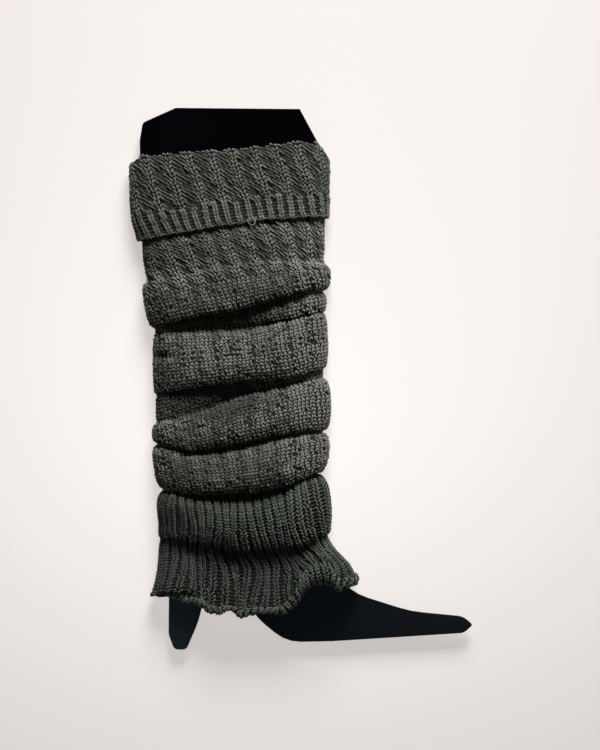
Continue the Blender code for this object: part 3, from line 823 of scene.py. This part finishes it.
# The leg's yarn gets painted light, brighter than the same yarn in the rib and the cuff
leg_ground_yarn = ground_material("leg_ground_yarn", brightness=1.5, bumps_down=120.0)
leg_yarn = yarn_material("leg_yarn", tint_and_painted_light=(1.06, 1.06, 0.97))
rows, hidden_rows, row_painted_light = leg_rows()
leg_face, leg_places = knit_face(rows, softness=1.3)
leg_tree = face_tree(leg_face)
leg_cloth = ground_cloth("leg_cloth", leg_face, across=140, down=120, material=leg_ground_yarn)
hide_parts("leg_tube")

# Rib tube
# The lower end of the same tube, knitted one by one: a raised column of stitches, then a sunken one. It has
# one soft fold and flares into a hem that the knitter cast off loosely, so that it ruffles and curls.
RIB_FOLD = made(Step, (0.05, 0.5), (0.12, 0.9), (0.25, 1.2), (0.42, 1.3), (0.6, 1.24), (0.75, 1.06),
                (0.88, 0.82), (0.97, 0.6))
# The flare: its share of the way down, its height over the valley, and its share of the hem's waves
Flare = namedtuple("Flare", "down level swell")
FLARES = made(Flare, (0.1, 0.3, -0.25), (0.28, -2.0, -0.2), (0.5, -1.2, 0.2), (0.75, 0.0, 0.7),
              (1.0, 0.6, 1.0))
VALLEY_RISE = 1.6
RIB_DRIFT = 0.6
HEM_DRIFT = 0.25
HEM_RISE = 4.0
HEM_SAG = 2.4

# The hem round the tube: where its crest ends, how far each wave stands out, how the cast-off edge goes on
# from the crest, down the leg and outwards, and how far it then curls up
Ruffle = namedtuple("Ruffle", "share y wave edge_down edge_out curl", defaults=(1.8, 0.0, 0.0))
HEM = made(
    Ruffle, (0.000, -148.8, 0.0, 1.2, 0.5, 0.4), (0.040, -146.6, 4.0, 1.5, -2.5, 0.0),
    (0.070, -145.4, 7.0, 4.8, -6.0, 0.8), (0.100, -146.2, 8.0, 6.0, -5.5, 1.6),
    (0.128, -151.3, 3.5, 3.0, -1.5, 1.7), (0.150, -157.9, 1.0, 1.0, 1.2, 1.8),
    (0.172, -158.9, 2.5, 0.8, 1.6, 1.9), (0.200, -157.2, 6.5, 0.8, 0.6, 0.8),
    (0.222, -161.6, 1.5, 0.8, 1.4, 1.9), (0.250, -160.0, 1.5, 0.8, 1.2, 1.6),
    (0.285, -159.2, 6.0, 0.8, 0.6, 0.9), (0.315, -159.2, 2.5, 0.6, 1.4, 2.0),
    (0.335, -155.2, 2.0, 0.5, 2.0, 2.8), (0.354, -148.0, 2.5, 0.4, 2.0, 4.4),
    (0.372, -139.0, 3.5, 0.0, 1.5, 6.2), (0.400, -134.0, 4.0, -0.4, 1.0, 6.8),
    (0.430, -135.0, 3.5, 0.0, 1.0, 6.4), (0.450, -141.0, 2.5, 0.6, 0.8, 4.4),
    (0.476, -138.8, 2.0, 0.8, 1.0, 2.2), (0.500, -134.5, 0.5, 1.4, 0.8, 0.4),
    (0.560, -143.5, 2.0), (0.620, -148.0, 0.0), (0.680, -153.5, 2.0), (0.740, -156.5, 0.0),
    (0.800, -154.5, 2.0), (0.860, -153.2, 0.5), (0.920, -150.6, 1.5), (0.960, -149.8, 0.0))
CURL_TURNS = range(30, 241, 30)
CURL_PROUD = 0.3
# Painted light on the curled stitches
CURL_PAINTED_LIGHT = 0.46
CURL_COURSE = 2.0
FLUTE = 0.45


def rib_rows():
    """Rows of the rib tube, from under the fourth fold to the cast-off edge."""
    level = np.zeros(COLUMNS)
    rib = FOLDS[-1]
    start = fold_rows(FOLDS[-2], rib.top, 50)[-1][0]
    top = line_round(rib.top) + waver(60, LINE_DRIFT)
    lip = line_round(rib.lip) + waver(61, RIB_DRIFT)
    rise = round_tube(rib.rise)
    shares, *parts = zip(*HEM)
    hem, wave, edge_down, edge_out, curl = (curve(shares, part, SHARES, 1.0) for part in parts)
    hem = hem + waver(62, HEM_DRIFT)
    front, back = front_and_back()
    rows = [(start, level), (np.minimum(top, start - 0.5), level)]
    rows.extend((top - step.down * (top - lip), rise * step.swell) for step in RIB_FOLD)
    rows.append((lip, 1.0 + (VALLEY_RISE - 1.0) * front))
    out = HEM_RISE * front + HEM_SAG * back
    for flare in FLARES:
        height = flare.level * front + flare.down * out + flare.swell * wave
        rows.append((lip - flare.down * (lip - hem), height))
    crest = rows[-1][1]
    rows.append((hem - edge_down * 0.5, crest + edge_out * 0.55))
    rows.append((hem - edge_down, crest + edge_out))
    flute = FLUTE * np.cos(math.tau * SHARES * WALES / 2)
    for turn in CURL_TURNS:
        angle = math.radians(turn)
        down = edge_down + curl * math.sin(angle) + flute * math.sin(angle / 2)
        rows.append((hem - down, crest + edge_out + curl * (1 - math.cos(angle))))
    return rows


# The rib's yarn and ground get painted shade, darker than the same yarn on the leg
rib_ground_yarn = ground_material("rib_ground_yarn", brightness=0.28, bumps_down=42.0)
rib_yarn = yarn_material("rib_yarn", tint_and_painted_light=(0.445, 0.515, 0.445))
rib_face, rib_places = knit_face(rib_rows(), softness=1.0)
rib_tree = face_tree(rib_face)
rib_cloth = ground_cloth("rib_cloth", rib_face, across=2 * WALES, down=50, material=rib_ground_yarn)
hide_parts("rib_tube")

# Turned cuff
# The top of the tube, folded down outside. It is knit in ropes like the leg, with a band of one by one rib
# at its cast-on edge, and the whole fabric leans to the right as it comes down.
CUFF_GAP = 3.0
CUFF_SWELL = 1.6
CUFF_SAG = 2.4
CUFF_BAND = 15.5
CUFF_LEAN = 0.27
BAND_LEAN = 0.16
CUFF_WANDER = 0.0012
CUFF_REACH = 3.0
CUFF_DRIFT = 0.3
CUFF_STEPS = (0.02, 0.16, 0.29, 0.42, 0.55, 0.67, 0.74, 0.87, 1.0)
CUFF_FULL = 0.6
CUFF_TAPER = 0.4
CUFF_FOLD_ROW = 2.5
STAGGER = 3.0


def cuff_rows():
    """Rows of the cuff: inside from the seam up to the fold, and outside from the fold to its edge."""
    level = np.zeros(COLUMNS)
    top = line_round(CUFF_TOP, CUFF_TOP_PLACES) + waver(70, CUFF_DRIFT)
    bottom = line_round(CUFF_BOTTOM) + waver(71, CUFF_DRIFT)
    tall = top - bottom
    front, back = front_and_back()
    rows = [(level + CUFF_SEAM_Y, level), (top - 4.0, level), (top - 0.9, level + 0.2)]
    rows.append((top, level + CUFF_GAP / 2))
    for share in CUFF_STEPS:
        full = math.sin(min(share / CUFF_FULL, 1.0) * math.pi / 2)
        swell = CUFF_SWELL * front * (1 - CUFF_TAPER * share) + CUFF_SAG * back
        rows.append((top - share * tall, CUFF_GAP + swell * full))
    return rows


# The cuff's yarn gets painted shade, darker than the same yarn on the leg
cuff_ground_yarn = ground_material("cuff_ground_yarn", brightness=1.6, bumps_down=40.0)
cuff_yarn = yarn_material("cuff_yarn", tint_and_painted_light=(0.755, 0.755, 0.685))
cuff_face, cuff_places = knit_face(cuff_rows(), softness=1.1)
cuff_tree = face_tree(cuff_face)
cuff_cloth = ground_cloth("cuff_cloth", cuff_face, across=120, down=40, material=cuff_ground_yarn)
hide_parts("turned_cuff")

cloth_trees = (leg_tree, rib_tree, cuff_tree)

# The four wales from one rope to the next: how proud each stands, how thick its yarn is, the painted light
# on the rope and the painted shade in its hollows, and how often a stitch that may be dropped is dropped,
# in slanting and in braided knit
ROPE_RELIEF = (0.45, 0.04, -0.30, -0.06)
ROPE_THICKNESS = (1.08, 0.94, 0.72, 0.94)
ROPE_PAINTED_SHADE = (0.06, 0.0, -0.10, -0.02)
SLANTING_HOLES = (0.0, 0.12, 0.06, 0.07)
BRAIDED_HOLES = (0.05, 0.11, 0.42, 0.11)
RIDGE_RELIEF = 0.22
RIDGE_LEAN = 1.0
ROUGHNESS = 1.6
TWIST = 0.12
BRAIDED_TILT = 0.14
SLANTING_TILT = 0.26
TILT_COURSES = 3
TILT_TURN = 0.37
TILT_JITTER = 8
BRAIDED_EASE = 0.62


def ropes(stitches, slanting, own):
    """One rope of stitches in every four wales, with open stitches and small slanting ridges in between.

    It returns which stitches are knit and how proud each stands, and gives its own painted light on the
    rope and painted shade in the hollows, and thins and tilts them.
    """
    place = stitches.wale % ROPE_WALES
    ease = np.where(slanting, 1.0, BRAIDED_EASE)
    ridge = np.cos(math.tau * (stitches.course - RIDGE_LEAN * place) / RIDGE_COURSES)
    purl = ~slanting & (place == ROPE_WALES // 2) & (ridge < -0.5)
    stitches.size *= np.where(own, 1.0 + ease * (np.array(ROPE_THICKNESS)[place] - 1.0), 1.0)
    # Painted light on the rope and painted shade in the hollows beside it
    stitches.shade += np.where(own, ease * np.array(ROPE_PAINTED_SHADE)[place], 0.0)
    ridges = np.where(slanting, RIDGE_RELIEF, 0.5 * RIDGE_RELIEF) * ridge
    turn = stitches.course / TILT_COURSES + stitches.wale * TILT_TURN
    sway = np.sin(math.tau * turn) + TILT_JITTER * stitches.jitter
    stitches.tilt = np.where(own, np.where(slanting, SLANTING_TILT, BRAIDED_TILT) * sway, 0.0)
    return ~purl, ease * np.array(ROPE_RELIEF)[place] + ridges + ROUGHNESS * stitches.jitter


def with_holes(keep, slanting, seed):
    """Leave out a stitch here and there, mostly between the ropes, where a small dark hole shows."""
    course, wale = np.indices(keep.shape)
    luck = np.random.default_rng(seed).random(keep.shape)
    place = wale % ROPE_WALES
    often = np.where(slanting[:, None], np.array(SLANTING_HOLES)[place], np.array(BRAIDED_HOLES)[place])
    return keep & ((luck > often) | ((course + wale + wale // ROPE_WALES) % 2 == 0))


def ribs(stitches, raised, sunk):
    """One by one rib: every other wale raised in knit, and those between sunk in purl."""
    knit = stitches.wale % 2 == 0
    return knit, np.where(knit, raised, sunk)


def knit_cuff():
    """The cuff's stitches: ropes above, and the rib band at its edge."""
    row = np.interp(CUFF_FOLD_ROW, cuff_places, np.arange(len(cuff_places)))
    face = cuff_face[int(row):]
    fallen = running(np.linalg.norm(np.diff(face[:, COLUMNS // 4], axis=0), axis=1))
    band = fallen > fallen[-1] - CUFF_BAND
    pace = np.where(band, RIB_PITCH, SLANTING_PITCH)
    courses = Courses(face, pace, np.where(band, BAND_LEAN, CUFF_LEAN), CUFF_WANDER)
    keep = ~covered(courses, cloth_trees[:2], CUFF_REACH) & courses.roomy(STITCH_ROOM)
    above_band = courses.levels[1] <= np.argmax(band)
    keep = np.where(above_band[:, None], with_holes(keep, above_band, 72), keep)
    stitches = Stitches(courses, keep, 71, TWIST * above_band)
    stagger = STAGGER * np.sin(math.tau * stitches.wale / ROPE_WALES + np.sin(stitches.wale))
    in_band = courses.levels[1][stitches.course] > np.argmax(band) + stagger
    rope_knit, rope_proud = ropes(stitches, ~in_band, ~in_band)
    rib_knit, rib_proud = ribs(stitches, raised=0.55, sunk=-0.4)
    knit = np.where(in_band, rib_knit, rope_knit)
    proud = np.where(in_band, rib_proud, rope_proud)
    rope = ~in_band & (stitches.wale % ROPE_WALES == 0)
    looks = ((SLANTING, ~in_band & ~rope), (BRAIDED, rope), (BAND, in_band))
    return knit_and_purl("cuff_stitches", stitches, looks, knit, proud, cuff_yarn), courses


cuff_stitches, cuff_courses = knit_cuff()


SLANTING_ABOVE = 68.0
LEAN_HEIGHTS = (-80.0, 40.0, 100.0)
LEG_LEANS = (0.10, 0.12, 0.27)
LEG_WANDER = 0.0016
LEG_REACH = 3.2
LEG_TOP_ROW = 0.9


def stretches(keep, count):
    """The stitches of each stretch, from the top down: shorter stretches keep a piece light."""
    for part in np.array_split(np.arange(len(keep)), count):
        chosen = np.zeros_like(keep)
        chosen[part] = keep[part]
        yield chosen


def knit_leg():
    """The leg's stitches, in four stretches."""
    rows_at = np.arange(len(leg_places))
    middle_y = leg_face[:, COLUMNS // 4, 1]
    pace = np.where(middle_y > SLANTING_ABOVE, SLANTING_PITCH, BRAIDED_PITCH)
    for first, last in hidden_rows:
        pace[(leg_places > first) & (leg_places < last)] = HIDDEN_PITCH
    courses = Courses(leg_face, pace, np.interp(middle_y, LEAN_HEIGHTS, LEG_LEANS), LEG_WANDER)
    course_rows = np.interp(courses.levels[1], rows_at, leg_places)
    # Painted light on the crests of the large folds and painted shade towards their lips
    courses.fade = np.interp(course_rows, range(len(row_painted_light)), row_painted_light)
    high = np.interp(courses.levels[1], rows_at, middle_y) > SLANTING_ABOVE
    keep = with_holes(~covered(courses, cloth_trees, LEG_REACH) & courses.roomy(STITCH_ROOM), high, 82)
    keep[courses.levels[1] < np.interp(LEG_TOP_ROW, leg_places, rows_at)] = False
    pieces = []
    for number, chosen in enumerate(stretches(keep, 4)):
        stitches = Stitches(courses, chosen, 81 + number, np.full(courses.total, TWIST))
        slanting = high[stitches.course]
        knit, proud = ropes(stitches, slanting, True)
        strokes = slanting & (stitches.wale % ROPE_WALES != 0)
        looks = ((SLANTING, strokes), (BRAIDED, ~strokes))
        pieces.append(knit_and_purl(f"leg_stitches_{number + 1}", stitches, looks, knit, proud, leg_yarn))
    return pieces


leg_stitches = knit_leg()


RIB_LEAN = 0.02
WANDER_ROWS = (0.0, 10.0, 16.0)
RIB_WANDERS = (0.0018, 0.0036, 0.0052)
RIB_REACH = 3.0
CURL_REACH = 1.6
CURL_NEAR = 8


def knit_rib():
    """The rib tube's stitches, in two stretches: knit wales raised, purl wales sunk between them."""
    wander = np.interp(rib_places, WANDER_ROWS, RIB_WANDERS)
    curl_start = rib_places[-1] + 0.5 - len(CURL_TURNS)
    curl_row = np.interp(curl_start, rib_places, np.arange(len(rib_places)))
    pace = np.where(rib_places > curl_start, CURL_COURSE, RIB_PITCH)
    courses = Courses(rib_face, pace, RIB_LEAN, wander)
    curled_courses = courses.levels[1] > curl_row
    reach = np.where(courses.levels[1] > curl_row - CURL_NEAR, CURL_REACH, RIB_REACH)
    keep = ~covered(courses, cloth_trees, reach, curled_courses) & courses.roomy(RIB_ROOM)
    pieces = []
    for number, chosen in enumerate(stretches(keep, 2)):
        stitches = Stitches(courses, chosen, 91 + number)
        curled = curled_courses[stitches.course]
        stitches.turn_over(curled)
        knit, proud = ribs(stitches, raised=0.6, sunk=-0.6)
        proud = np.where(curled, CURL_PROUD, proud)
        # Painted light on the curled edge
        stitches.shade += np.where(curled, CURL_PAINTED_LIGHT, 0.0)
        looks = ((RIBBED, ~curled), (CURLED, curled))
        name = f"rib_stitches_{number + 1}"
        pieces.append(knit_and_purl(name, stitches, looks, knit | curled, proud, rib_yarn))
    return pieces, courses


rib_stitches, rib_courses = knit_rib()
for piece in rib_stitches:
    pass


LOOP = arc((-0.56, -0.75, -0.50, 0.0), (-0.42, 0.0, 0.10, 0.72), (-0.18, 0.80, 0.40, 0.98))
EDGE_INSET = 1.2
LOOP_SAG = 0.15
LOOP_SHADE = 0.08


def edge_loops(name, face, courses, thickness, hang, material):
    """The edge itself: one loop of yarn from each rib, given in ribs across and mm down and out.

    hang is how far the loops reach down, as a share of what LOOP gives.
    """
    drift = courses.drifts[2][-1]
    count = WALES // 2
    random = np.random.default_rng(5)
    share = (2 * np.arange(count) + 0.5) / WALES + drift
    row = np.full(count, len(face) - EDGE_INSET)
    sag = random.normal(0.0, LOOP_SAG, count)
    paths = []
    for bend in LOOP:
        beside = courses.evenly(share + bend.across / count)
        at = on_face(face, row, beside)
        down = unit(at - on_face(face, row - 2.0, beside))
        out = unit(np.cross(down, on_face(face, row, beside + 0.002) - at))
        paths.append(at + out * bend.out + down * (hang * (bend.down + sag))[:, None])
    paths = np.stack(paths, axis=1)
    paths[..., 2] = np.maximum(paths[..., 2], YARN_FLOOR)
    sizes = random.normal(1.0, SIZE_SPREAD, (count, 1))
    radii = thickness * np.array([bend.radius for bend in LOOP]) * sizes
    shade = 0.5 + random.normal(0.0, LOOP_SHADE, count)
    return show_mesh(name, yarn_mesh(name, paths, radii, shade), material)


hem_edge = edge_loops("hem_edge", rib_face, rib_courses, thickness=0.8, hang=0.4, material=rib_yarn)
cuff_edge = edge_loops("cuff_edge", cuff_face, cuff_courses, thickness=1.0, hang=1.0, material=cuff_yarn)

# A loop of yarn pulled loose at the cuff's edge: mm across, up and out from the edge
PULLED_SHARE = 0.303
PULLED_YARN = ((-1.6, 2.4, 0.2), (-2.2, 0.6, 1.2), (-2.4, -1.2, 1.7), (-1.2, -3.2, 1.8), (1.0, -3.8, 1.6),
               (2.6, -2.6, 1.7), (2.4, -1.0, 1.6), (2.9, 1.2, 1.2), (3.4, 2.8, 0.2))
PULLED_THICKNESS = 0.6
PULLED_SHADE = 0.75


def pulled_loop():
    """One thin loop that hangs a little below the cuff."""
    edge = on_face(cuff_face, np.array([len(cuff_face) - EDGE_INSET]), np.array([PULLED_SHARE]))
    path = edge[:, None] + np.array(PULLED_YARN)[None]
    radii = np.full((1, len(PULLED_YARN)), PULLED_THICKNESS)
    mesh = yarn_mesh("pulled_loop", path, radii, np.array([PULLED_SHADE]))
    return show_mesh("pulled_loop", mesh, cuff_yarn)


loose_loop = pulled_loop()


# Table
# A plain surface of matt paper, nearly white, that the part lies on. It glows a little, and painted shade
# darkens it softly towards its corners, like a studio table under a large soft lamp.
TABLE_HALF = 1.4
PALE_SHIFT = (0.021, 0.051, 0.0)
PALE_SPREAD = (0.751, 0.983, 1.0)
TABLE_PALE = (0.959, 0.920, 0.893, 1.0)
TABLE_SHADE = (0.230, 0.180, 0.152, 1.0)
TABLE_MATT = (0.336, 0.324, 0.314, 1.0)
TABLE_GLOW = 0.718


def table_material():
    """Matt paper that glows a little as if lit from below, with painted shade in a soft round vignette."""
    material = new_material("pale_paper")
    place = add_node(material, "TexCoord", {})["Object"]
    centred = add_node(material, "Mapping", {
        "Vector": place, "Location": PALE_SHIFT, "Scale": PALE_SPREAD}, vector_type="POINT")["Vector"]
    fall = add_node(material, "TexGradient", {"Vector": centred}, gradient_type="QUADRATIC_SPHERE")["Fac"]
    return finish(material, {
        "Emission Color": blended(material, fall, TABLE_SHADE, TABLE_PALE), "Emission Strength": TABLE_GLOW,
        "Base Color": TABLE_MATT, "Roughness": 0.9, "Specular IOR Level": 0.1})


def make_table():
    """Flat table top under the part."""
    shape = bmesh.new()
    bmesh.ops.create_grid(shape, x_segments=8, y_segments=8, size=TABLE_HALF)
    mesh = finished("table", shape)
    mesh.materials.append(table_material())
    return add_object("table", mesh)


make_table()

# Light and camera
# A soft lamp from beyond the cuff, a little to the right, and a pale room all round. The camera is straight
# above.
LAMP_PLACE = Vector((0.14, 1.28, 0.86))
LAMP_POWER = 46.0
LAMP_SIZE = 0.68
ROOM_LIGHT = 0.1
ROOM_TINT = (1.0, 0.985, 0.97, 1.0)
CAMERA_PLACE = Vector((-0.00035, 0.0026, 2.1))
CAMERA_FRAME = 36.0
CAMERA_LENS = 144.0
CAMERA_SIGHT = 20.0


def add_lamp():
    """Large square lamp that looks at the part."""
    lamp = bpy.data.lights.new("key_lamp", "AREA")
    lamp.energy = LAMP_POWER
    lamp.size = LAMP_SIZE
    stand = add_object("key_lamp", lamp)
    stand.location = LAMP_PLACE
    stand.rotation_euler = (-LAMP_PLACE).to_track_quat("-Z", "Y").to_euler()


def light_room():
    """Even pale light from all round."""
    room = bpy.data.worlds.new("room")
    room.use_nodes = True
    back = room.node_tree.nodes["Background"]
    back.inputs["Color"].default_value = ROOM_TINT
    back.inputs["Strength"].default_value = ROOM_LIGHT
    bpy.context.scene.world = room


def add_camera():
    """Camera straight above the part, with its top towards the cuff."""
    lens = bpy.data.cameras.new("camera")
    lens.sensor_width = CAMERA_FRAME
    lens.lens = CAMERA_LENS
    lens.clip_end = CAMERA_SIGHT
    holder = add_object("camera", lens)
    holder.location = CAMERA_PLACE
    bpy.context.scene.camera = holder


add_lamp()
light_room()
add_camera()
bpy.context.scene.view_settings.view_transform = "Standard"
